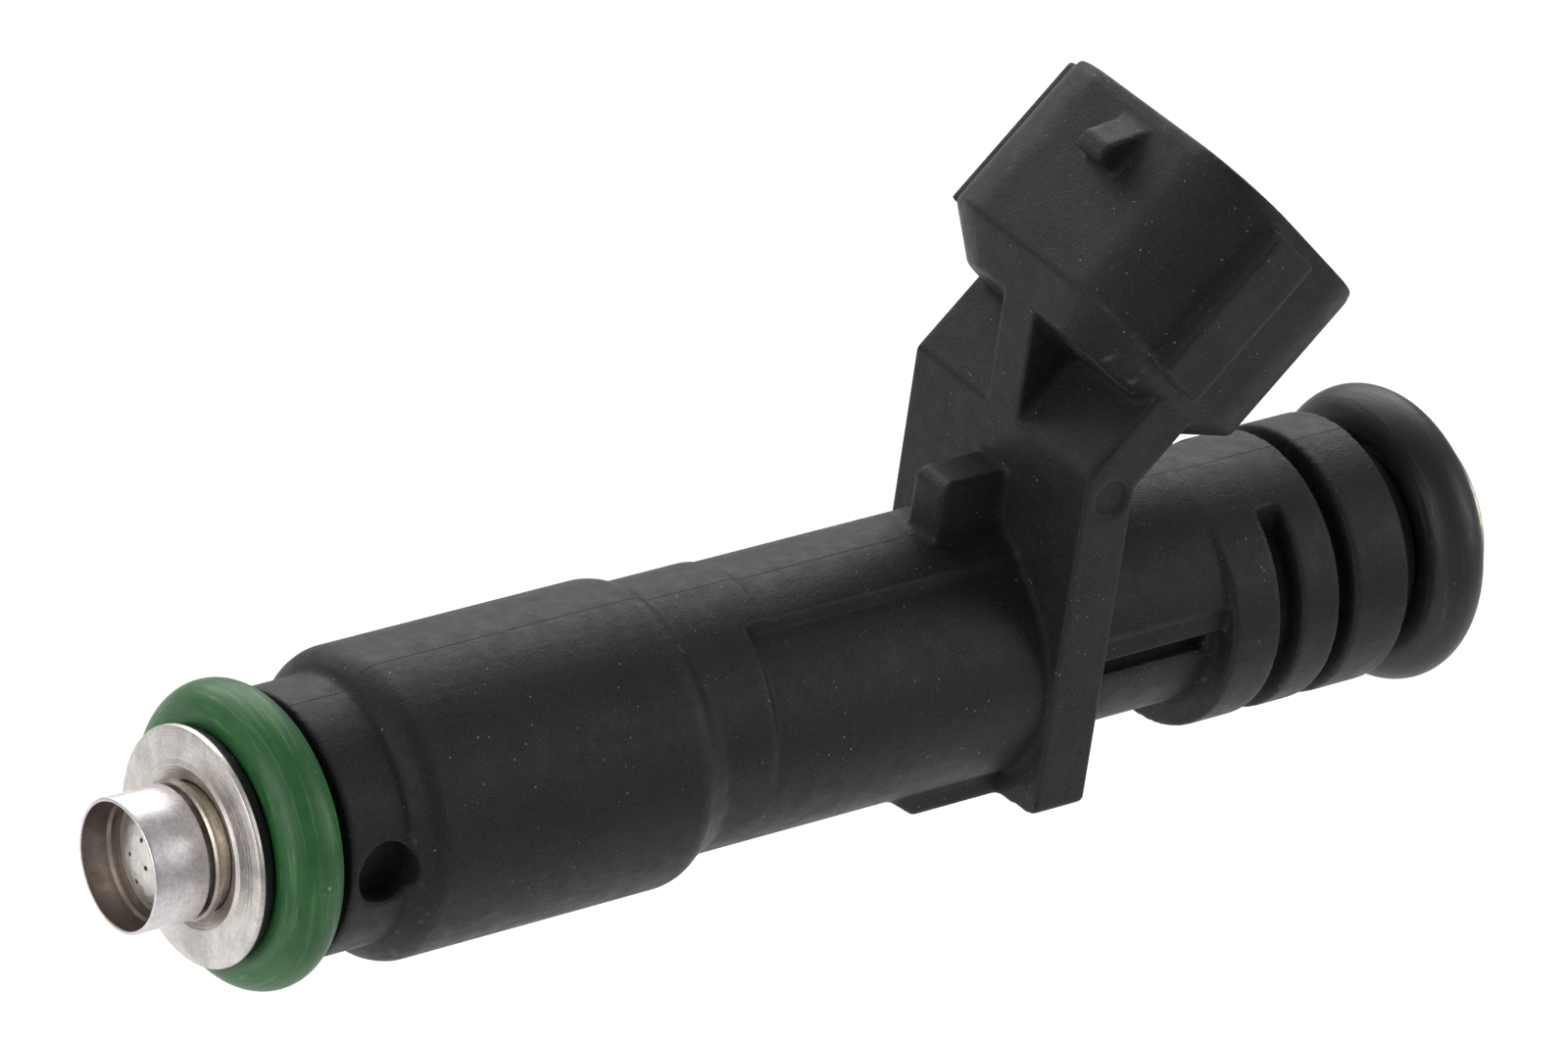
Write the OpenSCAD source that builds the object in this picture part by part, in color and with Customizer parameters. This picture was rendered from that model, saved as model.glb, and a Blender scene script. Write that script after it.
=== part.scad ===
// Port fuel injector lying on its axis. +X runs along the fuel path's axis from the nozzle to the
// fuel inlet, +Z points to the side that carries the electrical connector, and the origin is on the
// axis at the centre of the lower (manifold) O-ring.

/* [Nozzle end] */
// Distance from the lower O-ring's centre to the rim of the tip cup
tip_reach = 6.56; // [6:0.02:8]
// Outside radius of the thin steel cup around the orifice plate
tip_cup_r = 3.2; // [3.15:0.01:3.35]
// Distance from the lower O-ring's centre to the orifice plate's inner face
plate_depth = 4.3; // [4.2:0.05:4.4]
// Radius of one spray hole
spray_hole_r = 0.12; // [0.08:0.01:0.15]
// Distance from the axis of the two spray holes that stand side by side
spray_side_r = 0.66; // [0.5:0.02:0.9]
// Distance from the axis of the two spray holes that stand one above the other
spray_height_r = 1.1; // [0.9:0.05:1.3]
// Outside radius of the steel retainer disc below the lower O-ring
disc_r = 5.7; // [5.65:0.05:6.2]

/* [O-rings] */
// Radius from the axis to the middle of the lower ring's section
lower_ring_r = 5.7; // [5.6:0.05:5.8]
// Radius from the axis to the middle of the upper ring's section
upper_ring_r = 5.78; // [5.7:0.02:5.9]
// Radius of both rings' round section
ring_section_r = 1.6; // [1.4:0.05:1.6]
// Distance between the two O-rings, centre to centre
seal_span = 66.8; // [66.2:0.1:67.4]

/* [Moulded body] */
// Radius of the nose that the lower O-ring sits on
nose_r = 4.08; // [3.9:0.02:4.1]
// Radius of the lower collar, which enters the manifold bore
collar_r = 6.4; // [6.2:0.05:6.8]
// Radius of the coil section
coil_section_r = 7.45; // [7.2:0.05:8]
// Radius of the middle section below its top cap
mid_r = 6.42; // [6.2:0.02:6.6]
// Radius of the middle section's top cap
mid_cap_r = 6.95; // [6.8:0.05:7.2]
// Radius of the neck behind the flange
neck_r = 5.3; // [5.1:0.05:5.5]
// Radius of the retaining ribs
rib_r = 6.68; // [6.3:0.02:6.9]
// Radius of the core between the ribs
rib_core_r = 5.3; // [4.9:0.05:5.5]

/* [Flange and support] */
// Position of the flange's nozzle side
flange_x = 41.6; // [41:0.1:42]
// Thickness of the flange and of the leaning support plate
flange_t = 3; // [2.6:0.1:3.4]
// Half of the flange's width
flange_half_w = 6.8; // [6.4:0.1:7.2]
// Depth of the flange's lower edge below the axis
flange_drop = 6.35; // [6:0.05:6.6]
// Thickness of the web in the flange's middle plane
web_t = 2.4; // [2:0.1:3]

/* [Connector] */
// Width of the connector shroud
shroud_w = 15.5; // [14.6:0.1:16]
// Height of the connector shroud
shroud_h = 13.4; // [12:0.1:14]
// Corner radius of the shroud
shroud_corner_r = 4.2; // [3:0.1:4.6]
// Wall of the shroud
shroud_wall = 1.3; // [1:0.1:1.8]
// Distance of the shroud's upper face from the leaning plane through the origin
shroud_top = 14.3; // [14:0.1:14.6]
// Distance of the shroud's mouth from the origin along the connector's axis
mouth_reach = 53.4; // [52.4:0.1:54.4]
// Distance between the two contact blades, centre to centre
blade_pitch = 6; // [5.8:0.1:6.4]
// Width of a contact blade
blade_w = 1.5; // [1.2:0.1:1.6]
// Thickness of a contact blade
blade_t = 0.8; // [0.6:0.1:0.8]

/* [Valve] */
// Distance that the armature and needle lift
needle_lift = 0.1; // [0.05:0.01:0.1]
// Radius of the valve ball
ball_r = 1.25; // [1.2:0.01:1.3]
// Outside radius of the needle tube
needle_r = 0.9; // [0.8:0.05:0.95]
// Radial clearance between the armature and the valve tube
armature_gap = 0.06; // [0.04:0.01:0.1]
// Turns of the return spring
spring_turns = 9; // [7:1:10]
// Radius of the return spring's wire
spring_wire_r = 0.2; // [0.16:0.02:0.22]

/* [Hidden] */
$fn = 96;
// Assembly clearance between nested pieces
fit = 0.02;
// Small overlap that joins two volumes of one piece
lap = 0.2;

// Stations along the axis
nose_x = -2.25;
collar_x = 1.9;
step_x = 5.1;
coil_x = 6.4;
coil_end_x = 20.9;
shoulder_x = 21.9;
shoulder_end_x = 23.2;
label_x = 25.6;
cap_step_x = 26.8;
flange_end_x = flange_x + flange_t;
rib_c_x = 52.7;
rib_c_end_x = 55.6;
rib_b_x = 56.9;
rib_b_end_x = 59.2;
rib_a_x = 60.2;
rib_a_end_x = 63.55;
spigot_end_x = 65.2;
lip_x = seal_span + 1.95;
lip_end_x = lip_x + 0.75;
lip_r = 5.3;

// Caps along the top and the sides of the neck
label_ledge_y = -2.8;
neck_band_half_w = 3.3;
neck_step_z = 2.3;
neck_side_r = 6.02;
neck_ledge_z = 1.1;
neck_groove_z = -0.1;
neck_groove_y = 4.6;
nose_lip_r = 5.5;
nose_lip_end_x = -1.62;
coil_end_r = coil_section_r - 0.35;

// Valve tube
tube_r = 3.05;
tube_wall = 0.3;
tube_bore_r = tube_r - tube_wall;
inlet_r = upper_ring_r - ring_section_r - fit;
inlet_wall = 0.36;
inlet_bore_r = inlet_r - inlet_wall;
flare_x = 46.5;
flare_end_x = 48.5;
bead_r = 3.32;
bead_end_x = -3.35;

// Solenoid
can_r = 5.78;
can_wall = 0.62;
can_x = 6.9;
can_end_x = 20.4;
can_floor_t = 1.2;
cover_t = 1.4;
bobbin_x = can_x + can_floor_t + 0.1;
bobbin_end_x = can_end_x - cover_t - 0.1;
bobbin_flange_t = 0.8;
bobbin_tube_r = 3.7;
bobbin_flange_r = can_r - can_wall - 0.05;
winding_r = 4.85;
post_end_x = 22.4;
post_half_w = 4;
post_low_z = 3.35;
post_high_z = 5;

// Armature group
armature_x = 9;
armature_end_x = 15;
armature_r = tube_bore_r - armature_gap;
spring_seat_x = 13.4;
spring_bore_r = 1.35;
spring_r = 1.05;
core_x = armature_end_x + needle_lift + 0.02;
core_end_x = 29;
adjuster_x = 22;
adjuster_end_x = 28;
needle_end_x = 12;

// Seat: the ball rests on a cone, a hair clear of it
plate_x = -plate_depth;
seat_end_x = -1.6;
seat_cone_x = -3.6;
seat_cone_end_x = -2.4;
seat_cone_r = 0.7;
seat_cone_end_r = 1.6;
seat_guide_r = 1.75;
cone_slope = (seat_cone_end_r - seat_cone_r) / (seat_cone_end_x - seat_cone_x);
cone_secant = sqrt(1 + cone_slope * cone_slope);
ball_gap = 0.02;
ball_x = seat_cone_x + ((ball_r + ball_gap) * cone_secant - seat_cone_r) / cone_slope;

// Leaning frame: its z runs out of the connector at 45 degrees between +X and +Z, and its x runs
// down through the shroud from the upper face to the lower one.
lean = 45;
base_drop = 1.9;
taper_top = flange_x * sqrt(2) - shroud_top;
base_reach = taper_top - base_drop;
socket_floor = taper_top + 0.9;
plate_lean_x = 20.5;
rail_w = 3.3;
rail_out = 0.9;
rail_start = 3.1;
rail_reach = base_reach + 1.6;
rim_h = 0.45;
rim_inset = 0.08;
blade_mid = shroud_top + shroud_h / 2;
blade_tip = mouth_reach - 2.7;
plate_blade_mid = plate_lean_x + flange_t / 2;
blade_jog_reach = base_reach + 1.1;

// Terminal run inside the body
lead_low_z = 3.9;
lead_x = can_end_x + 0.2;
lead_rise_x = flange_x + flange_t / 2;

// ---- helpers ----

// Turned piece about the X axis; points are [radius, x]
module turned(points) {
    rotate([0, 90, 0]) rotate_extrude() polygon(points);
}

// Round bar about the X axis
module bar(x0, x1, r) {
    translate([x0, 0, 0]) rotate([0, 90, 0]) cylinder(h = x1 - x0, r = r);
}

// Cone about the X axis
module cone(x0, x1, r0, r1) {
    translate([x0, 0, 0]) rotate([0, 90, 0]) cylinder(h = x1 - x0, r1 = r0, r2 = r1);
}

// Box from one corner to the other
module box(low, high) {
    translate(low) cube(high - low);
}

// Outline in the XZ plane, given a thickness about y = 0
module side_plate(points, t) {
    translate([0, t / 2, 0]) rotate([90, 0, 0]) linear_extrude(t) polygon(points);
}

// Children in the connector's leaning frame
module leaning() {
    rotate([0, lean, 0]) children();
}

// Place in the XZ plane of a point of the leaning frame
function lean_point(down, out) = [(out + down) / sqrt(2), (out - down) / sqrt(2)];

// Block with four rounded edges along z, from x = 0 to h and y = -w/2 to w/2
module rounded_block(w, h, r, z0, z1) {
    translate([r, -w / 2, z0]) cube([h - 2 * r, w, z1 - z0]);
    translate([0, -w / 2 + r, z0]) cube([h, w - 2 * r, z1 - z0]);
    for (x = [r, h - r], y = [-w / 2 + r, w / 2 - r])
        translate([x, y, z0]) cylinder(h = z1 - z0, r = r);
}

// ---- moulded body ----

module body_sections() {
    bar(nose_x, collar_x + lap, nose_r);
    bar(nose_x, nose_lip_end_x, nose_lip_r);
    bar(collar_x, step_x + lap, collar_r);
    turned([
        [0, step_x],
        [collar_r, step_x],
        [collar_r + 0.45, step_x + 0.3],
        [collar_r + 0.85, step_x + 0.75],
        [coil_section_r, coil_x],
        [coil_section_r, coil_end_x],
        [coil_section_r - 0.12, coil_end_x + 0.5],
        [coil_section_r - 0.45, shoulder_x],
        [mid_r + 0.1, shoulder_end_x - 0.3],
        [mid_r, shoulder_end_x],
        [mid_r, flange_x + lap],
        [0, flange_x + lap],
    ]);
    bar(flange_x, rib_c_x + lap, neck_r);
    bar(rib_c_x, rib_c_end_x, rib_r);
    bar(rib_c_end_x - lap, rib_a_x + lap, rib_core_r);
    bar(rib_b_x, rib_b_end_x, rib_r);
    bar(rib_a_x, rib_a_end_x, rib_r);
    bar(rib_a_end_x - lap, spigot_end_x, 5.2);
}

// Round bar of radius r whose top stands at the given height above the axis
module cap(x0, x1, r, top) {
    translate([0, 0, top - r]) bar(x0, x1, r);
}

// Caps along the top: bars set a little above the axis, so that they fade into the flanks
module body_top_caps() {
    cap(coil_end_x - lap, label_x, 6.5, coil_end_r);
    intersection() {
        cap(label_x - lap, cap_step_x, 6.5, coil_end_r);
        box([label_x - 1, label_ledge_y, 0], [cap_step_x + 1, 10, 10]);
    }
    intersection() {
        cap(label_x - lap, flange_x + lap, 6.46, mid_cap_r);
        box([label_x - 1, label_ledge_y, 0], [flange_x + 1, 10, 10]);
    }
    intersection() {
        cap(flange_x, rib_c_x + lap, neck_side_r, rib_r + 0.1);
        box([flange_x - 1, -10, neck_step_z], [rib_c_x + 1, 10, 10]);
    }
    intersection() {
        cap(flange_x, rib_c_x + lap, neck_side_r - 0.15, rib_r - 0.1);
        box([flange_x - 1, -10, neck_ledge_z], [rib_c_x + 1, 10, 10]);
    }
    intersection() {
        bar(rib_c_end_x - lap, rib_b_x + lap, rib_r);
        box([rib_c_x, -neck_band_half_w, 0], [rib_b_x + 1, neck_band_half_w, 10]);
    }
}

// Flange plate that bends 45 degrees towards the connector, with its web, gusset and foot pad
module flange_and_support() {
    back_lean_x = plate_lean_x + flange_t;
    side_plate([
        [flange_x, -4],
        [flange_x, flange_x - sqrt(2) * plate_lean_x],
        lean_point(plate_lean_x, base_reach + 1.2),
        lean_point(back_lean_x, base_reach + 1.2),
        [flange_end_x, flange_end_x - sqrt(2) * back_lean_x],
        [flange_end_x, -4],
    ], 2 * flange_half_w);
    translate([flange_x, 0, 0]) rotate([90, 0, 90]) linear_extrude(flange_t) polygon([
        [-flange_half_w, 0],
        [-flange_half_w, 0.6 - flange_drop],
        [0.1 - flange_half_w, 0.37 - flange_drop],
        [0.35 - flange_half_w, 0.25 - flange_drop],
        [-4, -flange_drop],
        [4, -flange_drop],
        [flange_half_w - 0.35, 0.25 - flange_drop],
        [flange_half_w - 0.1, 0.37 - flange_drop],
        [flange_half_w, 0.6 - flange_drop],
        [flange_half_w, 0],
    ]);
    side_plate([
        [flange_x, 0],
        [flange_x, 18.8],
        lean_point(plate_lean_x + 0.5, base_reach + 0.6),
        [flange_x + 1, 0],
    ], web_t);
    side_plate([
        [flange_x - 3.8, 5],
        [flange_x - 3.8, 9.6],
        [flange_x - 3.4, 10],
        [flange_x + lap, 10],
        [flange_x + lap, 5],
    ], 2.2);
    side_plate([
        [flange_x - 6.9, -3],
        [flange_x - 6.9, -4.9],
        [flange_x - 5, -flange_drop],
        [flange_x + lap, -flange_drop],
        [flange_x + lap, -3],
    ], 8);
}

// Connector shroud in its leaning frame, solid
module shroud() {
    translate([shroud_top, 0, 0]) {
        rounded_block(shroud_w, shroud_h, shroud_corner_r, taper_top, mouth_reach - rim_h);
        translate([rim_inset, 0, 0])
            rounded_block(shroud_w - 2 * rim_inset, shroud_h - 2 * rim_inset,
                shroud_corner_r - rim_inset, mouth_reach - rim_h - lap, mouth_reach);
        hull() {
            rounded_block(shroud_w, shroud_h, shroud_corner_r, taper_top, taper_top + 0.01,
                $fn = 32);
            translate([base_drop, 0, 0])
                rounded_block(shroud_w - 2 * base_drop, shroud_h - 2 * base_drop,
                    shroud_corner_r - 0.8, base_reach, base_reach + 0.01, $fn = 32);
        }
    }
    for (rail = [[-1, rail_reach, mouth_reach - 0.8], [1, rail_reach + 0.4, mouth_reach - 0.1]])
        translate([shroud_top + rail_start, rail[0] * (shroud_w / 2 + rail_out - 1) - 1, rail[1]])
            cube([rail_w, 2, rail[2] - rail[1]]);
    side_plate([
        [shroud_top + 0.5, mouth_reach - 3.7],
        [shroud_top - 1.45, mouth_reach - 3.7],
        [shroud_top - 1.45, mouth_reach - 2.8],
        [shroud_top, mouth_reach - 1],
        [shroud_top + 0.5, mouth_reach - 1],
    ], 1.9);
}

module overmold() {
    color("#2a2a2c") difference() {
        union() {
            body_sections();
            body_top_caps();
            flange_and_support();
            leaning() shroud();
        }
        leaning() translate([shroud_top + shroud_wall, 0, 0])
            rounded_block(shroud_w - 2 * shroud_wall, shroud_h - 2 * shroud_wall,
                shroud_corner_r - shroud_wall, socket_floor, mouth_reach + 5);
        bar(nose_x - 1, flare_x, tube_r + fit);
        cone(flare_x, flare_end_x, tube_r + fit, inlet_r + fit);
        bar(flare_end_x, lip_x, inlet_r + fit);
        bar(can_x - fit, can_end_x + fit, can_r + fit);
        bobbin_post(fit);
        for (side = [-1, 1])
            terminal_run(side, fit);
        for (side = [-1, 1])
            translate([flange_end_x, side * (neck_groove_y + 1) - 1, neck_groove_z])
                cube([rib_c_x - 0.6 - flange_end_x, 2, neck_ledge_z - neck_groove_z]);
        translate([3.9, -collar_r + 1.5, 0.5]) rotate([90, 0, 0]) cylinder(h = 6, r = 1.5);
        translate([4.6, -collar_r + 0.5, -2.5]) rotate([90, 0, 0]) cylinder(h = 3, r = 0.2);
        translate([flange_x + 1.7, -flange_half_w + 0.2, 11.1]) rotate([90, 0, 0])
            cylinder(h = 2, r = 1);
    }
}

// ---- sealing and retaining pieces ----

module o_ring(x, ring_r) {
    translate([x, 0, 0]) rotate([0, 90, 0]) rotate_extrude() translate([ring_r, 0])
        circle(r = ring_section_r, $fn = 48);
}

module lower_o_ring() {
    color("#1f7a3a") o_ring(0, lower_ring_r);
}

module upper_o_ring() {
    color("#1c1c1e") o_ring(seal_span, upper_ring_r);
}

// Washer with a rolled hole edge that keeps the lower O-ring on the nose
module retainer_disc() {
    color("#b9b4aa") turned([
        [tube_r + 0.04, nose_x - 0.28],
        [3.5, nose_x - 0.32],
        [3.75, nose_x - 0.42],
        [3.95, nose_x - 0.52],
        [4.15, nose_x - 0.42],
        [disc_r - 0.15, nose_x - 0.42],
        [disc_r, nose_x - 0.3],
        [disc_r, nose_x - 0.14],
        [disc_r - 0.12, nose_x - fit],
        [tube_r + 0.04, nose_x - fit],
    ]);
}

// ---- fuel path ----

// Drawn steel tube that runs from the valve seat to the fuel inlet
module fuel_tube() {
    color("#c4c2bd") turned([
        [tube_bore_r, bead_end_x],
        [bead_r - 0.12, bead_end_x],
        [bead_r, bead_end_x + 0.1],
        [bead_r, bead_end_x + 0.35],
        [tube_r, bead_end_x + 0.5],
        [tube_r, flare_x],
        [inlet_r, flare_end_x],
        [inlet_r, lip_x],
        [lip_r - 0.2, lip_x],
        [lip_r, lip_x + 0.2],
        [lip_r, lip_end_x - 0.2],
        [lip_r - 0.2, lip_end_x],
        [inlet_bore_r + 0.25, lip_end_x],
        [inlet_bore_r, lip_end_x - 0.25],
        [inlet_bore_r, flare_end_x],
        [tube_bore_r, flare_x],
    ]);
}

// Thin cup welded round the seat; its rim stands proud of the orifice plate
module tip_cup() {
    color("#cfcbc2") turned([
        [2.8 + fit, -3.62],
        [2.8 + fit, plate_x - 0.3 - fit],
        [2.95, plate_x - 0.75],
        [2.95, -tip_reach + 0.08],
        [2.98, -tip_reach],
        [tip_cup_r - 0.08, -tip_reach],
        [tip_cup_r, -tip_reach + 0.1],
        [tip_cup_r, -3.75],
        [tip_cup_r - 0.12, -3.62],
    ]);
}

// Thin stamped plate, domed outwards in the middle, with four spray holes
module orifice_plate() {
    color("#d8d4ca") difference() {
        union() {
            turned([
                [0, plate_x - 0.3],
                [2.8, plate_x - 0.3],
                [2.8, plate_x],
                [0, plate_x],
            ]);
            turned(dome_outline(2.35, plate_x - 0.3, 0.9));
        }
        turned(dome_outline(2.05, plate_x + 0.01, 0.9));
        for (side = [-1, 1]) {
            translate([0, side * spray_side_r, 0])
                bar(plate_x - 2, plate_x + 1, spray_hole_r, $fn = 24);
            translate([0, 0, side * spray_height_r])
                bar(plate_x - 2, plate_x + 1, spray_hole_r, $fn = 24);
        }
    }
}

// Outline of a shallow dome that swells towards -X
function dome_outline(r, x, rise) =
    concat([for (a = [0 : 15 : 90]) [r * cos(a), x - rise * sin(a)]], [[0, x]]);

module valve_seat() {
    color("#a8a8aa") turned([
        [seat_cone_r, plate_x + fit],
        [2.8, plate_x + fit],
        [2.8, bead_end_x + fit],
        [tube_bore_r - fit, bead_end_x + fit],
        [tube_bore_r - fit, seat_end_x],
        [seat_guide_r, seat_end_x],
        [seat_guide_r, seat_cone_end_x],
        [seat_cone_end_r, seat_cone_end_x],
        [seat_cone_r, seat_cone_x],
    ]);
}

module valve_ball() {
    color("#d0d0d2") translate([ball_x, 0, 0]) rotate([0, 90, 0]) rotate_extrude()
        intersection() {
            circle(r = ball_r, $fn = 64);
            translate([0, -2]) square([2, 4]);
        }
}

module needle_tube() {
    needle_bore_r = needle_r - 0.35;
    needle_x = ball_x + sqrt(ball_r * ball_r - needle_bore_r * needle_bore_r) + fit;
    color("#b4b4b6") difference() {
        bar(needle_x, needle_end_x, needle_r);
        bar(needle_x - 1, needle_end_x + 1, needle_bore_r);
        for (x = [2, 5])
            translate([x, 0, 0]) cylinder(h = 4, r = 0.25, center = true, $fn = 32);
    }
}

module armature() {
    color("#8f9092") turned([
        [needle_r + fit, armature_x],
        [armature_r - 0.3, armature_x],
        [armature_r, armature_x + 0.3],
        [armature_r, armature_end_x - 0.2],
        [armature_r - 0.2, armature_end_x],
        [spring_bore_r, armature_end_x],
        [spring_bore_r, spring_seat_x],
        [0.6, spring_seat_x],
        [0.6, needle_end_x + fit],
        [needle_r + fit, needle_end_x + fit],
    ]);
}

// Round wire coiled between the armature and the adjusting sleeve, cut flat at both ends
module return_spring() {
    spring_l = adjuster_x - spring_seat_x - 2 * fit;
    pitch = spring_l / spring_turns;
    half_a = 360 * spring_wire_r / pitch * 0.98;
    color("#9a9a9c") translate([spring_seat_x + fit, 0, 0]) rotate([0, 90, 0])
        linear_extrude(spring_l, twist = -360 * spring_turns, slices = 14 * spring_turns, $fn = 8)
            polygon(concat(
                [for (k = [-3 : 3]) spring_edge(k / 3 * half_a, pitch, 1)],
                [for (k = [2 : -1 : -2]) spring_edge(k / 3 * half_a, pitch, -1)]
            ));
}

// Edge of the coiled wire's section at angle a from its middle
function spring_edge(a, pitch, side) =
    (spring_r + side * sqrt(max(0.0004, spring_wire_r ^ 2 - (a / 360 * pitch) ^ 2)))
        * [cos(a), sin(a)];

module adjusting_sleeve() {
    color("#b8b6b0") difference() {
        bar(adjuster_x, adjuster_end_x, spring_bore_r - fit);
        bar(adjuster_x - 1, adjuster_end_x + 1, 0.8);
    }
}

module pole_core() {
    color("#8a8b8d") difference() {
        bar(core_x, core_end_x, tube_bore_r - fit);
        bar(core_x - 1, core_end_x + 1, spring_bore_r);
    }
}

// ---- solenoid ----

module magnet_housing() {
    color("#7f8082") turned([
        [tube_r + fit, can_x],
        [can_r, can_x],
        [can_r, can_end_x],
        [can_r - can_wall, can_end_x],
        [can_r - can_wall, can_x + can_floor_t],
        [tube_r + fit, can_x + can_floor_t],
    ]);
}

// Washer that closes the can, notched where the coil's post comes through
module magnet_cover() {
    color("#86878a") difference() {
        bar(can_end_x - cover_t, can_end_x, can_r - can_wall - fit);
        bar(can_x, can_end_x + 1, tube_r + fit);
        bobbin_post(fit);
    }
}

module bobbin_post(grow) {
    intersection() {
        box([bobbin_end_x - 0.3, -post_half_w - grow, post_low_z - grow],
            [post_end_x + grow, post_half_w + grow, post_high_z + grow]);
        bar(bobbin_end_x - 1, post_end_x + 1, bobbin_flange_r + grow);
    }
}

module coil_bobbin() {
    color("#c9b98a") difference() {
        union() {
            bar(bobbin_x, bobbin_end_x, bobbin_tube_r);
            bar(bobbin_x, bobbin_x + bobbin_flange_t, bobbin_flange_r);
            bar(bobbin_end_x - bobbin_flange_t, bobbin_end_x, bobbin_flange_r);
            bobbin_post(0);
        }
        bar(bobbin_x - 1, post_end_x + 1, tube_r + 0.05);
        for (side = [-1, 1])
            terminal_run(side, fit);
    }
}

module coil_winding() {
    color("#b5652d") difference() {
        bar(bobbin_x + bobbin_flange_t + fit, bobbin_end_x - bobbin_flange_t - fit, winding_r);
        bar(bobbin_x, bobbin_end_x, bobbin_tube_r + fit);
    }
}

// Bent strip from the coil's post up through the support plate to the socket
module terminal_run(side, grow) {
    x0 = lead_rise_x - blade_t / 2 - grow;
    x1 = lead_rise_x + blade_t / 2 + grow;
    down0 = plate_blade_mid - blade_t / 2 - grow;
    down1 = plate_blade_mid + blade_t / 2 + grow;
    w = blade_w + 2 * grow;
    translate([0, side * blade_pitch / 2, 0]) {
        side_plate([
            [lead_x - grow, lead_low_z - grow],
            [lead_x - grow, lead_low_z + blade_t + grow],
            [x0, lead_low_z + blade_t + grow],
            [x0, x0 - sqrt(2) * down0],
            lean_point(down0, blade_jog_reach + blade_t / 2),
            lean_point(down1, blade_jog_reach + blade_t / 2),
            [x1, x1 - sqrt(2) * down1],
            [x1, lead_low_z - grow],
        ], w);
        leaning() {
            box([blade_mid - blade_t / 2 - grow, -w / 2, blade_jog_reach - grow],
                [down1, w / 2, blade_jog_reach + blade_t + grow]);
            box([blade_mid - blade_t / 2 - grow, -w / 2, blade_jog_reach],
                [blade_mid + blade_t / 2 + grow, w / 2, blade_tip + grow]);
        }
    }
}

module terminal_left() {
    color("#c8c9cc") terminal_run(-1, 0);
}

module terminal_right() {
    color("#c8c9cc") terminal_run(1, 0);
}

// ---- inlet filter ----

module filter_frame() {
    color("#d9c7a0") difference() {
        union() {
            bar(60, 64, inlet_bore_r - fit);
            bar(50, 51.2, 2.4);
            for (a = [0 : 90 : 270])
                rotate([a, 0, 0]) box([50.5, -0.5, 2.1], [60.5, 0.5, 2.4]);
        }
        bar(51.2, 65, 2.05);
    }
}

module filter_mesh() {
    color("#e6e2d8") difference() {
        bar(51.25, 63, 2.02);
        bar(51, 64, 1.8);
    }
}

overmold();
retainer_disc();
lower_o_ring();
upper_o_ring();
tip_cup();
orifice_plate();
valve_seat();
valve_ball();
needle_tube();
armature();
return_spring();
adjusting_sleeve();
pole_core();
fuel_tube();
magnet_housing();
magnet_cover();
coil_bobbin();
coil_winding();
terminal_left();
terminal_right();
filter_frame();
filter_mesh();
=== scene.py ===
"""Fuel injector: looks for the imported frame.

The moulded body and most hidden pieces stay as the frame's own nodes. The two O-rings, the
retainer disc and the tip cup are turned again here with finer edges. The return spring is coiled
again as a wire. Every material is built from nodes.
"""

from math import atan2, cos, pi, radians, remainder, sin

import bmesh
import bpy
from mathutils import Matrix, Vector


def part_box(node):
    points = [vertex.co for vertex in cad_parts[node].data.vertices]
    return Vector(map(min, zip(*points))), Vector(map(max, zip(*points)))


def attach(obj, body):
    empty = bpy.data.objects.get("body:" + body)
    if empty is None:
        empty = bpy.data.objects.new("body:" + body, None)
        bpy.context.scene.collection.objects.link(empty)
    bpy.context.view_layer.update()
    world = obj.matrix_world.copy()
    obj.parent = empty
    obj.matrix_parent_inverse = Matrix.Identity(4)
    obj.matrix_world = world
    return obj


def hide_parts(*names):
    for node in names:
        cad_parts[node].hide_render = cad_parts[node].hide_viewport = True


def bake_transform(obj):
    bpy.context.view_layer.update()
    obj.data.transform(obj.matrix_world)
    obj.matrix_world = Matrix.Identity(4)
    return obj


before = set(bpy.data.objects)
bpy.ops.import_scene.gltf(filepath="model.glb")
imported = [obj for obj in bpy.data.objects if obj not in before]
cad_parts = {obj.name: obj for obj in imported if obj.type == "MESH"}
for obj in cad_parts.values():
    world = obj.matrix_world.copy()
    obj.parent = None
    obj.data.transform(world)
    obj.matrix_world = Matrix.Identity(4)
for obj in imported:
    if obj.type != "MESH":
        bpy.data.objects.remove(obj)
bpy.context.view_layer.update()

MM = 0.001
BODY = "injector_body"


# ---------------------------------------------------------------- places taken from the frame


def station(node, end, axis=0):
    """One end (0 low, 1 high) of a node's box along an axis, in metres."""
    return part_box(node)[end][axis]


def outer_radius(node):
    """Radius of a round node about the fuel axis."""
    return (station(node, 1, 1) - station(node, 0, 1)) / 2


# ---------------------------------------------------------------- mesh helpers

STEPS_PER_TURN = 48
WIRE_SIDES = 12


def rounded(points, steps=5):
    """Closed outline from (radius, x, corner radius) points; 0 leaves a corner sharp."""
    out = []
    count = len(points)
    for i, (r, x, corner) in enumerate(points):
        here = Vector((r, x))
        if corner <= 0:
            out.append(here)
            continue
        to_last = (Vector(points[i - 1][:2]) - here).normalized()
        to_next = (Vector(points[(i + 1) % count][:2]) - here).normalized()
        half = to_last.angle(to_next) / 2
        centre = here + (to_last + to_next).normalized() * (corner / sin(half))
        start = here + to_last * (corner * cos(half) / sin(half)) - centre
        stop = here + to_next * (corner * cos(half) / sin(half)) - centre
        first = atan2(start.y, start.x)
        sweep = remainder(atan2(stop.y, stop.x) - first, 2 * pi)
        for k in range(steps + 1):
            a = first + sweep * k / steps
            out.append(centre + Vector((corner * cos(a), corner * sin(a))))
    return out


def circle_angles(count):
    """Evenly spaced angles once around a circle, starting at 0."""
    return [2 * pi * k / count for k in range(count)]


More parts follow.
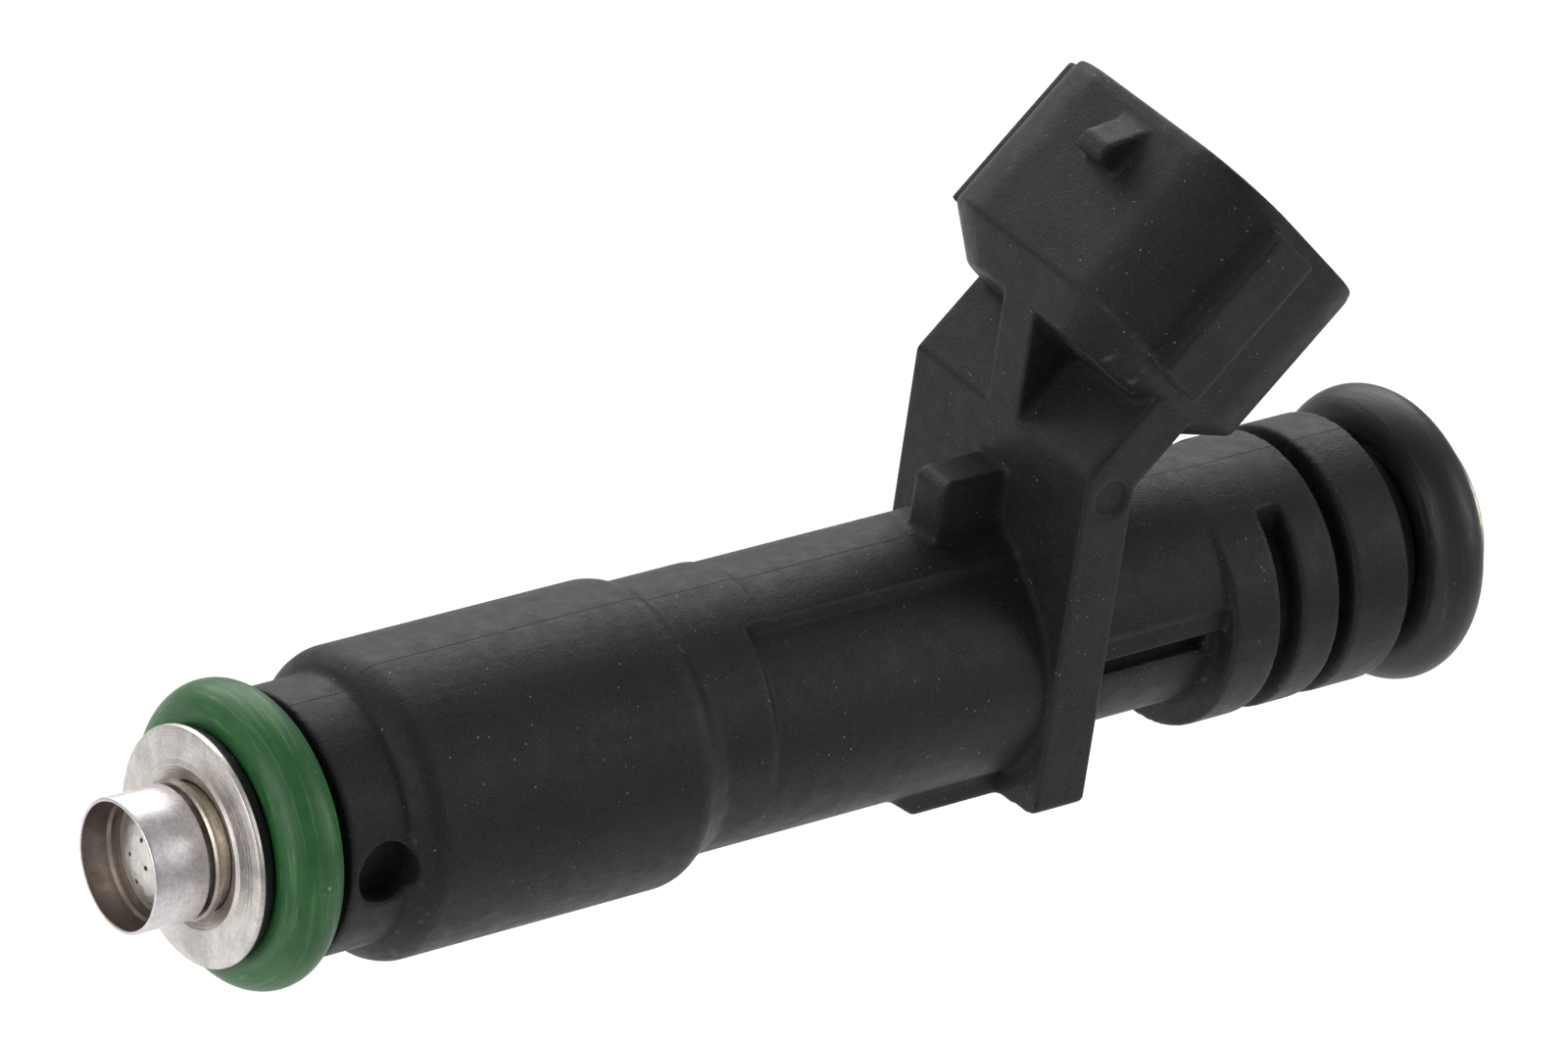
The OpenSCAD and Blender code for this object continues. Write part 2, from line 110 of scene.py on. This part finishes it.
def skin(mesh, rings):
    """Faces between each closed ring of vertices and the next."""
    for one, two in zip(rings, rings[1:]):
        for k in range(len(one)):
            n = (k + 1) % len(one)
            mesh.faces.new((one[k], one[n], two[n], two[k]))


def lathe(name, outline, body, material, segments=160):
    """Ring turned about the X axis from a closed outline of (radius, x) points in metres."""
    mesh = bmesh.new()
    turns = circle_angles(segments)
    rings = [[mesh.verts.new((x, r * cos(a), r * sin(a))) for a in turns] for r, x in outline]
    skin(mesh, rings + rings[:1])
    bmesh.ops.recalc_face_normals(mesh, faces=mesh.faces)
    piece = smooth_piece(name, mesh, material)
    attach(piece, body)
    return piece


def smooth_piece(name, mesh, material):
    """Smooth-shaded object from a bmesh, given its material."""
    for face in mesh.faces:
        face.smooth = True
    data = bpy.data.meshes.new(name)
    mesh.to_mesh(data)
    mesh.free()
    piece = bpy.data.objects.new(name, data)
    bpy.context.scene.collection.objects.link(piece)
    data.materials.append(material)
    return piece


def helix_wire(name, start, stop, coil, wire, turns, material):
    """Round wire coiled about the X axis, its middle line from start to stop."""
    mesh = bmesh.new()
    steps = STEPS_PER_TURN * turns
    rise = (stop - start) / (2 * pi * turns)
    rings = []
    for k in range(steps + 1):
        a = 2 * pi * turns * k / steps
        outward = Vector((0, cos(a), sin(a)))
        along = Vector((rise, -coil * sin(a), coil * cos(a))).normalized()
        middle_line = Vector((start + rise * a, 0, 0)) + coil * outward
        across = along.cross(outward)
        rings.append([
            mesh.verts.new(middle_line + wire * (cos(b) * outward + sin(b) * across))
            for b in circle_angles(WIRE_SIDES)
        ])
    skin(mesh, rings)
    mesh.faces.new(rings[0])
    mesh.faces.new(rings[-1])
    bmesh.ops.recalc_face_normals(mesh, faces=mesh.faces)
    return smooth_piece(name, mesh, material)


# ---------------------------------------------------------------- materials


class Nodes:
    """Small wrapper for building a material's node tree."""

    def __init__(self, name):
        self.material = bpy.data.materials.new(name)
        self.material.use_nodes = True
        self.tree = self.material.node_tree
        self.shader = self.tree.nodes["Principled BSDF"]
        self.place = self.add("ShaderNodeTexCoord").outputs["Object"]

    def add(self, kind):
        return self.tree.nodes.new(kind)

    def link(self, source, target):
        self.tree.links.new(source, target)

    def split(self):
        """X, Y and Z of the piece's own coordinates."""
        node = self.add("ShaderNodeSeparateXYZ")
        self.link(self.place, node.inputs[0])
        return node.outputs

    def radius(self, y, z):
        """Distance from the fuel axis."""
        return self.math("SQRT", self.math("ADD", self.math("MULTIPLY", y, y),
                                           self.math("MULTIPLY", z, z)))

    def round_place(self, along, outward, around):
        """Coordinates that follow a ring about the fuel axis: along, out from and around it.

        The values stretch the metres along and outward, and the radians around. The seam, where
        the angle jumps, is at +Y.
        """
        x, y, z = self.split()
        radius = self.radius(y, z)
        angle = self.math("ARCTAN2", z, self.math("MULTIPLY", y, -1.0))
        place = self.add("ShaderNodeCombineXYZ")
        for socket, value, scale in zip(place.inputs, (x, radius, angle), (along, outward, around)):
            self.link(self.math("MULTIPLY", value, scale), socket)
        return place.outputs[0]

    def noise(self, scale, detail, roughness, place=None, distortion=0.0):
        """Cloud noise, about 0.5 on average; place is the piece's own metres if it isn't given."""
        node = self.add("ShaderNodeTexNoise")
        node.inputs["Scale"].default_value = scale
        node.inputs["Detail"].default_value = detail
        node.inputs["Roughness"].default_value = roughness
        node.inputs["Distortion"].default_value = distortion
        self.link(place or self.place, node.inputs["Vector"])
        return node.outputs["Fac"]

    def cell_dots(self, scale, size):
        """Small round dots, one in each cell: 1 at a dot's middle, 0 beyond its size."""
        node = self.add("ShaderNodeTexVoronoi")
        node.inputs["Scale"].default_value = scale
        node.inputs["Randomness"].default_value = 1.0
        self.link(self.place, node.inputs["Vector"])
        away = self.math("DIVIDE", node.outputs["Distance"], size)
        return self.math("SUBTRACT", 1.0, away, clamp=True)

    def worn_edges(self, start, full):
        """Patchy rubbing along sharp outer edges: 0 on flat faces, up to 1 on a bare edge."""
        shape = self.add("ShaderNodeNewGeometry").outputs["Pointiness"]
        edge = self.ramp(shape, [(start, 0.0), (full, 1.0)])
        patches = self.ramp(self.noise(900, 5, 0.7), [(0.42, 0.0), (0.62, 1.0)])
        return self.math("MULTIPLY", edge, patches)

    def corner_shade_and_dull_skin(self, full, start):
        """Mask for painted shade and a dull skin in the inner corners: up to 1 in a sharp one, 0 on
        flat faces.
        """
        shape = self.add("ShaderNodeNewGeometry").outputs["Pointiness"]
        return self.ramp(shape, [(full, 1.0), (start, 0.0)])

    def ramp(self, source, stops):
        """Colour ramp from (position, grey or colour) stops."""
        node = self.add("ShaderNodeValToRGB")
        marks = node.color_ramp.elements
        while len(marks) < len(stops):
            marks.new(0.5)
        for mark, (at, value) in zip(marks, stops):
            mark.position = at
            rgb = value if isinstance(value, tuple) else (value, value, value)
            mark.color = (*rgb, 1)
        self.link(source, node.inputs["Fac"])
        return node.outputs["Color"]

    def math(self, operation, a, b=None, clamp=False):
        """Maths on numbers or sockets."""
        node = self.add("ShaderNodeMath")
        node.operation = operation
        node.use_clamp = clamp
        for socket, value in zip(node.inputs, (a, b)):
            if value is None:
                continue
            if isinstance(value, (int, float)):
                socket.default_value = value
            else:
                self.link(value, socket)
        return node.outputs[0]

    def mix(self, factor, a, b):
        """Colour a where factor is 0, colour b where it is 1."""
        node = self.add("ShaderNodeMix")
        node.data_type = "RGBA"
        for socket, value in zip((node.inputs[0], node.inputs[6], node.inputs[7]), (factor, a, b)):
            if isinstance(value, (int, float)):
                socket.default_value = value
            elif isinstance(value, tuple):
                socket.default_value = (*value, 1)
            else:
                self.link(value, socket)
        return node.outputs[2]

    def bump(self, layers):
        """Chain of bumps from (height, strength, distance in mm) layers."""
        normal = None
        for height, strength, distance in layers:
            node = self.add("ShaderNodeBump")
            node.inputs["Strength"].default_value = strength
            node.inputs["Distance"].default_value = distance * MM
            self.link(height, node.inputs["Height"])
            if normal:
                self.link(normal, node.inputs["Normal"])
            normal = node.outputs["Normal"]
        self.link(normal, self.shader.inputs["Normal"])

    def set(self, **values):
        """Shader inputs by name, from numbers, colours or sockets."""
        for key, value in values.items():
            socket = self.shader.inputs[key.replace("_", " ")]
            if isinstance(value, tuple):
                socket.default_value = (*value, 1)
            elif isinstance(value, (int, float)):
                socket.default_value = value
            else:
                self.link(value, socket)


PARTING_LINE_HALF_WIDTH = 0.05 * MM
PARTING_LINE_TOP = 8 * MM


def moulded_black():
    """Glass-filled black nylon: fine grain, faint flow clouds, pale dust specks, painted shade in
    inner corners, parting line.
    """
    m = Nodes("moulded_black")
    cloud = m.noise(300, 5, 0.62)
    grain = m.noise(6500, 4, 0.65)
    fleck = m.noise(13000, 2, 0.5)
    base = m.ramp(cloud, [(0.3, (0.0075, 0.0075, 0.0080)), (0.72, (0.0125, 0.0125, 0.013))])
    base = m.mix(m.ramp(fleck, [(0.52, 0.0), (0.74, 0.7)]), base, (0.038, 0.038, 0.040))
    dust = m.ramp(m.cell_dots(2300, 0.16), [(0.0, 0.0), (1.0, 0.75)])
    thin = m.ramp(m.noise(700, 4, 0.7), [(0.53, 0.0), (0.62, 1.0)])
    base = m.mix(m.math("MULTIPLY", dust, thin), base, (0.32, 0.32, 0.33))
    base = m.mix(m.worn_edges(0.53, 0.60), base, (0.05, 0.05, 0.052))
    # Painted shade: inner corners are darkened to near black. The same mask also makes them
    # rougher.
    corner = m.corner_shade_and_dull_skin(0.45, 0.493)
    base = m.mix(corner, base, (0.0035, 0.0035, 0.0035))
    rough = m.ramp(m.noise(1100, 5, 0.65), [(0.3, 0.42), (0.7, 0.58)])
    rough = m.mix(corner, rough, (0.95, 0.95, 0.95))
    _, y, z = m.split()
    off_line = m.math("DIVIDE", m.math("ABSOLUTE", y), PARTING_LINE_HALF_WIDTH)
    ridge = m.math("SUBTRACT", 1.0, off_line, clamp=True)
    on_top = m.math("MULTIPLY", m.math("GREATER_THAN", z, 0.0),
                    m.math("LESS_THAN", z, PARTING_LINE_TOP))
    m.set(Base_Color=base, Roughness=rough, IOR=1.45, Specular_IOR_Level=0.24)
    m.bump([
        (m.math("MULTIPLY", ridge, on_top), 0.5, 0.05),
        (m.noise(420, 3, 0.5), 0.12, 0.12),
        (m.noise(1900, 4, 0.6), 0.3, 0.05),
        (grain, 0.75, 0.035),
    ])
    return m.material


def rubber(name, dark, light, pale, gloss, streak_amount, speck_amount, speck_colour):
    """Moulded O-ring rubber: flow streaks around the ring, cloudy bloom, specks of dust."""
    m = Nodes(name)
    around = m.round_place(3400, 3400, 1.8)
    streak = m.noise(1.0, 5, 0.6, place=around, distortion=0.4)
    fine = m.noise(3.1, 4, 0.6, place=around, distortion=0.3)
    cloud = m.noise(230, 5, 0.62)
    base = m.ramp(cloud, [(0.32, dark), (0.68, light)])
    base = m.mix(m.ramp(m.noise(2600, 4, 0.7), [(0.45, 0.0), (0.75, 0.7)]), base, dark)
    lines = m.math("MULTIPLY", m.ramp(streak, [(0.54, 0.0), (0.74, 1.0)]), streak_amount)
    base = m.mix(lines, base, pale)
    specks = m.math("MULTIPLY", m.cell_dots(1300, 0.15), speck_amount)
    thin = m.ramp(m.noise(260, 3, 0.6), [(0.5, 0.0), (0.62, 1.0)])
    base = m.mix(m.math("MULTIPLY", specks, thin), base, speck_colour)
    rough = m.ramp(fine, [(0.3, gloss - 0.07), (0.7, gloss + 0.1)])
    m.set(Base_Color=base, Roughness=rough, IOR=1.5, Specular_IOR_Level=0.3)
    m.bump([(streak, 0.35, 0.05), (fine, 0.3, 0.02), (m.noise(6000, 3, 0.6), 0.4, 0.015)])
    return m.material


def turned_steel(name, tint, rough, along=1.0, outward=1.0, groove_depth=0.2, mottle=0.35,
                 stained=0.6, painted_shade_radius=0.0):
    """Steel with fine turning marks about the fuel axis and a mottled, slightly stained surface.

    Along and outward say how fast the marks change along the axis and away from it. Stained is
    the stains' brightness against the tint. Painted_shade_radius is the radius in metres under
    which the steel is painted a patchy dark brown as shade inside the bore, or 0 for none.
    """
    m = Nodes(name)
    x, y, z = m.split()
    radius = m.radius(y, z)
    groove = m.add("ShaderNodeTexNoise")
    groove.noise_dimensions = "1D"
    groove.inputs["Scale"].default_value = 7000
    groove.inputs["Detail"].default_value = 4
    m.link(m.math("ADD", m.math("MULTIPLY", x, along), m.math("MULTIPLY", radius, outward)),
           groove.inputs["W"])
    stain = m.noise(520, 6, 0.68, distortion=0.5)
    fine = m.noise(5200, 5, 0.65)
    base = m.ramp(stain, [(0.34, tuple(v * stained for v in tint)), (0.6, tint)])
    grain = m.ramp(fine, [(0.38, 0.0), (0.64, 1.0)])
    base = m.mix(m.math("MULTIPLY", grain, mottle), base, tuple(v * 0.4 for v in tint))
    # Painted shade: inside the given radius the bore is painted a patchy dark brown.
    if painted_shade_radius:
        inside = m.math("LESS_THAN", radius, painted_shade_radius)
        patchy = m.ramp(m.noise(380, 4, 0.6), [(0.35, 0.72), (0.65, 0.95)])
        base = m.mix(m.math("MULTIPLY", inside, patchy), base, (0.17, 0.13, 0.095))
    low = m.ramp(m.noise(1500, 5, 0.65), [(0.3, rough - 0.06), (0.7, rough + 0.12)])
    m.set(Base_Color=base, Metallic=1.0, Roughness=low)
    m.bump([
        (groove.outputs["Fac"], groove_depth, 0.012),
        (m.noise(900, 4, 0.6), 0.16, 0.05),
        (fine, 0.35, 0.012),
    ])
    return m.material


def plain_moulding(name, dark, light, rough=0.45):
    """Unfilled moulded plastic of the hidden pieces."""
    m = Nodes(name)
    base = m.ramp(m.noise(500, 4, 0.6), [(0.3, dark), (0.7, light)])
    rough = m.ramp(m.noise(1800, 3, 0.5), [(0.3, rough - 0.08), (0.7, rough + 0.08)])
    m.set(Base_Color=base, Roughness=rough)
    m.bump([(m.noise(3500, 3, 0.5), 0.4, 0.02)])
    return m.material


WINDING_PITCH = 0.14 * MM
MESH_PITCH = 0.16 * MM


def wound_copper():
    """Enamelled copper wire laid in rows: ridges at the wire's pitch."""
    m = Nodes("wound_copper")
    x = m.split()[0]
    rows = m.math("SINE", m.math("MULTIPLY", x, 2 * pi / WINDING_PITCH))
    shade = m.ramp(m.noise(900, 3, 0.5), [(0.3, 0.0), (0.7, 1.0)])
    base = m.mix(shade, (0.32, 0.09, 0.025), (0.52, 0.17, 0.05))
    rough = m.ramp(m.noise(2500, 3, 0.5), [(0.3, 0.25), (0.7, 0.4)])
    m.set(Base_Color=base, Metallic=0.8, Roughness=rough)
    m.bump([(rows, 0.6, 0.04)])
    return m.material


def woven_mesh():
    """Fine woven filter cloth."""
    m = Nodes("woven_mesh")
    x, y, z = m.split()
    warp = m.math("SINE", m.math("MULTIPLY", x, 2 * pi / MESH_PITCH))
    weft = m.math("SINE", m.math("MULTIPLY", m.math("ADD", y, z), 2 * pi / MESH_PITCH))
    weave = m.math("MULTIPLY", warp, weft)
    base = m.ramp(weave, [(0.0, (0.32, 0.3, 0.25)), (0.6, (0.72, 0.69, 0.6))])
    m.set(Base_Color=base, Roughness=m.ramp(m.noise(2500, 3, 0.5), [(0.3, 0.6), (0.7, 0.8)]))
    m.bump([(weave, 0.6, 0.05)])
    return m.material


# Radius inside which the tip cup's bore is painted dark brown as shade.
CUP_SHADE_RADIUS = 3.03 * MM

BLACK = moulded_black()
GREEN = rubber(
    "green_rubber", dark=(0.014, 0.074, 0.023), light=(0.033, 0.134, 0.040),
    pale=(0.080, 0.195, 0.062), gloss=0.42, streak_amount=0.8,
    speck_amount=1.0, speck_colour=(0.45, 0.6, 0.4),
)
SEAL = rubber(
    "black_rubber", dark=(0.014, 0.014, 0.015), light=(0.023, 0.023, 0.025),
    pale=(0.060, 0.060, 0.063), gloss=0.42, streak_amount=0.6,
    speck_amount=0.3, speck_colour=(0.2, 0.2, 0.2),
)
CUP = turned_steel("tip_steel", (0.78, 0.73, 0.74), 0.37, outward=0.0, groove_depth=0.15,
                   mottle=0.4, stained=0.8, painted_shade_radius=CUP_SHADE_RADIUS)
DISC = turned_steel("disc_steel", (0.72, 0.68, 0.645), 0.38, along=0.0, groove_depth=1.6,
                    mottle=0.3, stained=0.66)
PLATE = turned_steel("plate_steel", (0.80, 0.77, 0.73), 0.42, along=0.0, groove_depth=0.05,
                     mottle=0.12)
TUBE = turned_steel("tube_steel", (0.50, 0.44, 0.37), 0.34, outward=0.0, groove_depth=0.3)
VALVE = turned_steel("valve_steel", (0.50, 0.50, 0.51), 0.25)
IRON = turned_steel("magnet_steel", (0.42, 0.42, 0.43), 0.35)
TIN = turned_steel("terminal_tin", (0.46, 0.46, 0.47), 0.42)
BOBBIN = plain_moulding("bobbin_plastic", (0.30, 0.24, 0.13), (0.42, 0.34, 0.19))
FILTER = plain_moulding("filter_plastic", (0.45, 0.36, 0.22), (0.58, 0.48, 0.32))
COPPER = wound_copper()
MESH = woven_mesh()


# ---------------------------------------------------------------- pieces

SKIN_VOXEL = 0.13 * MM
SKIN_SMOOTHING = 10


def keep(node, material):
    """Keep a frame node and give it its material."""
    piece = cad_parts[node]
    piece.data.materials.clear()
    piece.data.materials.append(material)
    return piece


def soften_body():
    """Round the moulding's edges as a mould does, without changing the node's own mesh."""
    body = keep("overmold", BLACK)
    remesh = body.modifiers.new("even_skin", "REMESH")
    remesh.mode = "VOXEL"
    remesh.voxel_size = SKIN_VOXEL
    remesh.use_smooth_shade = True
    smooth = body.modifiers.new("mould_radii", "SMOOTH")
    smooth.factor = 0.5
    smooth.iterations = SKIN_SMOOTHING


RING_SECTION_STEPS = 96
RING_SEGMENTS = 220


def o_ring(name, node, material):
    """O-ring as one smooth torus, finer than the frame's own."""
    middle = (station(node, 0) + station(node, 1)) / 2
    section = (station(node, 1) - station(node, 0)) / 2
    ring = outer_radius(node) - section
    turns = circle_angles(RING_SECTION_STEPS)
    outline = [(ring + section * cos(a), middle + section * sin(a)) for a in turns]
    piece = lathe(name, outline, BODY, material, segments=RING_SEGMENTS)
    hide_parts(node)


DISC_HOLE = 3.09 * MM
DISC_COLLAR_FOOT = 3.5 * MM
DISC_CREST = 3.88 * MM
DISC_STEP = 4.15 * MM


def retainer_disc():
    """Washer with a rolled hole edge, a rounded rim and a shallow pressed step."""
    front, back = station("retainer_disc", 0), station("retainer_disc", 1)
    rim = outer_radius("retainer_disc")
    t = back - front
    outline = rounded([
        (DISC_HOLE, back, 0.02 * MM),
        (DISC_HOLE, front + 0.75 * t, 0.02 * MM),
        (DISC_COLLAR_FOOT, front + 0.4 * t, 0.1 * MM),
        (DISC_CREST, front, 0.14 * MM),
        (DISC_STEP, front + 0.2 * t, 0.1 * MM),
        (rim - 0.5 * MM, front + 0.2 * t, 0.2 * MM),
        (rim, front + 0.35 * t, 0.1 * MM),
        (rim, back, 0.08 * MM),
    ])
    piece = lathe("disc_piece", outline, BODY, DISC)
    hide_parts("retainer_disc")


CUP_BORE = 2.82 * MM
CUP_STEP_FOOT = 2.86 * MM
CUP_STEP_HEAD = 2.99 * MM
CUP_MOUTH = 3.0 * MM


def tip_cup():
    """Thin drawn cup: fine rim, a step inside, and a rounded edge where it meets the neck."""
    rim, back = station("tip_cup", 0), station("tip_cup", 1)
    r = outer_radius("tip_cup")
    seat = station("orifice_plate", 1)
    outline = rounded([
        (CUP_BORE, back, 0),
        (CUP_BORE, seat - 0.3 * MM, 0),
        (CUP_STEP_FOOT, seat - 0.75 * MM, 0.02 * MM),
        (CUP_STEP_HEAD, seat - 0.9 * MM, 0.03 * MM),
        (CUP_MOUTH, rim, 0.06 * MM),
        (r, rim, 0.1 * MM),
        (r, back, 0.12 * MM),
    ])
    piece = lathe("cup_piece", outline, BODY, CUP)
    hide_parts("tip_cup")


SPRING_WIRE_RADIUS = 0.2 * MM
SPRING_TURNS = 9


def coil_spring():
    """Wire spring with one end on the armature and one on the adjusting sleeve."""
    wire = SPRING_WIRE_RADIUS
    low, high = station("return_spring", 0) + wire, station("return_spring", 1) - wire
    coil = outer_radius("return_spring") - wire
    piece = helix_wire("spring_wire", low, high, coil, wire, SPRING_TURNS, VALVE)
    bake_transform(piece)
    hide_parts("return_spring")


soften_body()
coil_spring()
o_ring("green_ring", "lower_o_ring", GREEN)
o_ring("black_ring", "upper_o_ring", SEAL)
retainer_disc()
tip_cup()
for node, material in {
    "orifice_plate": PLATE,
    "fuel_tube": TUBE,
    "valve_seat": VALVE,
    "valve_ball": VALVE,
    "needle_tube": VALVE,
    "armature": IRON,
    "adjusting_sleeve": VALVE,
    "pole_core": IRON,
    "magnet_housing": IRON,
    "magnet_cover": IRON,
    "coil_bobbin": BOBBIN,
    "coil_winding": COPPER,
    "terminal_left": TIN,
    "terminal_right": TIN,
    "filter_frame": FILTER,
    "filter_mesh": MESH,
}.items():
    keep(node, material)


# ---------------------------------------------------------------- light, floor and camera


def area_light(name, place, aim, size, power):
    """Soft white rectangular light at a place in metres, turned towards aim."""
    data = bpy.data.lights.new(name, "AREA")
    data.shape = "RECTANGLE"
    data.size, data.size_y = size
    data.energy = power
    light = bpy.data.objects.new(name, data)
    bpy.context.scene.collection.objects.link(light)
    light.location = place
    light.rotation_euler = (Vector(aim) - Vector(place)).to_track_quat("-Z", "Y").to_euler()


def pale_floor(height, size):
    """Large square floor well below the object, so that no hard shadow shows."""
    mesh = bmesh.new()
    bmesh.ops.create_grid(mesh, x_segments=4, y_segments=4, size=size)
    data = bpy.data.meshes.new("floor")
    mesh.to_mesh(data)
    mesh.free()
    floor = bpy.data.objects.new("floor", data)
    floor.location = (0, 0, height)
    bpy.context.scene.collection.objects.link(floor)
    m = Nodes("pale_floor")
    m.set(Base_Color=m.ramp(m.noise(3, 2, 0.5), [(0.3, 0.86), (0.7, 0.88)]), Roughness=0.9)
    data.materials.append(m.material)


def studio_world(strength):
    """Even white light from all round."""
    world = bpy.data.worlds.new("studio")
    world.use_nodes = True
    background = world.node_tree.nodes["Background"]
    background.inputs["Color"].default_value = (1, 1, 1, 1)
    background.inputs["Strength"].default_value = strength
    bpy.context.scene.world = world


def aimed_camera(place, aim, roll, lens):
    """Camera at a place in metres, turned towards aim and rolled about its own view line."""
    data = bpy.data.cameras.new("camera")
    data.lens = lens
    data.sensor_width = 36
    data.clip_start = 0.05
    data.clip_end = 20
    camera = bpy.data.objects.new("camera", data)
    bpy.context.scene.collection.objects.link(camera)
    facing = (aim - place).to_track_quat("-Z", "Y").to_matrix().to_4x4()
    camera.matrix_world = Matrix.Translation(place) @ facing @ Matrix.Rotation(roll, 4, "Z")
    bpy.context.scene.camera = camera


FLOOR_HEIGHT = -0.3
FLOOR_HALF_WIDTH = 4.0
SKY_STRENGTH = 0.36
LIT_HEIGHT = 0.008
VIEW_FROM = Vector((-0.25053, -0.33296, 0.25936))
VIEW_TO = Vector((0.03146, 0.00248, 0.00758))
VIEW_ROLL = radians(8.352)
LENS_MM = 247.5

pale_floor(FLOOR_HEIGHT, FLOOR_HALF_WIDTH)
studio_world(SKY_STRENGTH)
bpy.context.scene.view_settings.view_transform = "Standard"

middle = [(station("fuel_tube", 0) + station("fuel_tube", 1)) / 2, 0, LIT_HEIGHT]
# Name, place, aim, width and height in metres, and watts.
area_light("top_soft", (0.35, 1.15, 0.85), middle, (2.2, 1.3), 29.5)
area_light("right_soft", (0.7, -0.5, 0.35), middle, (0.5, 0.6), 3.0)
area_light("left_soft", (-0.9, -0.1, 0.25), middle, (0.7, 0.7), 5.2)
aimed_camera(VIEW_FROM, VIEW_TO, VIEW_ROLL, LENS_MM)
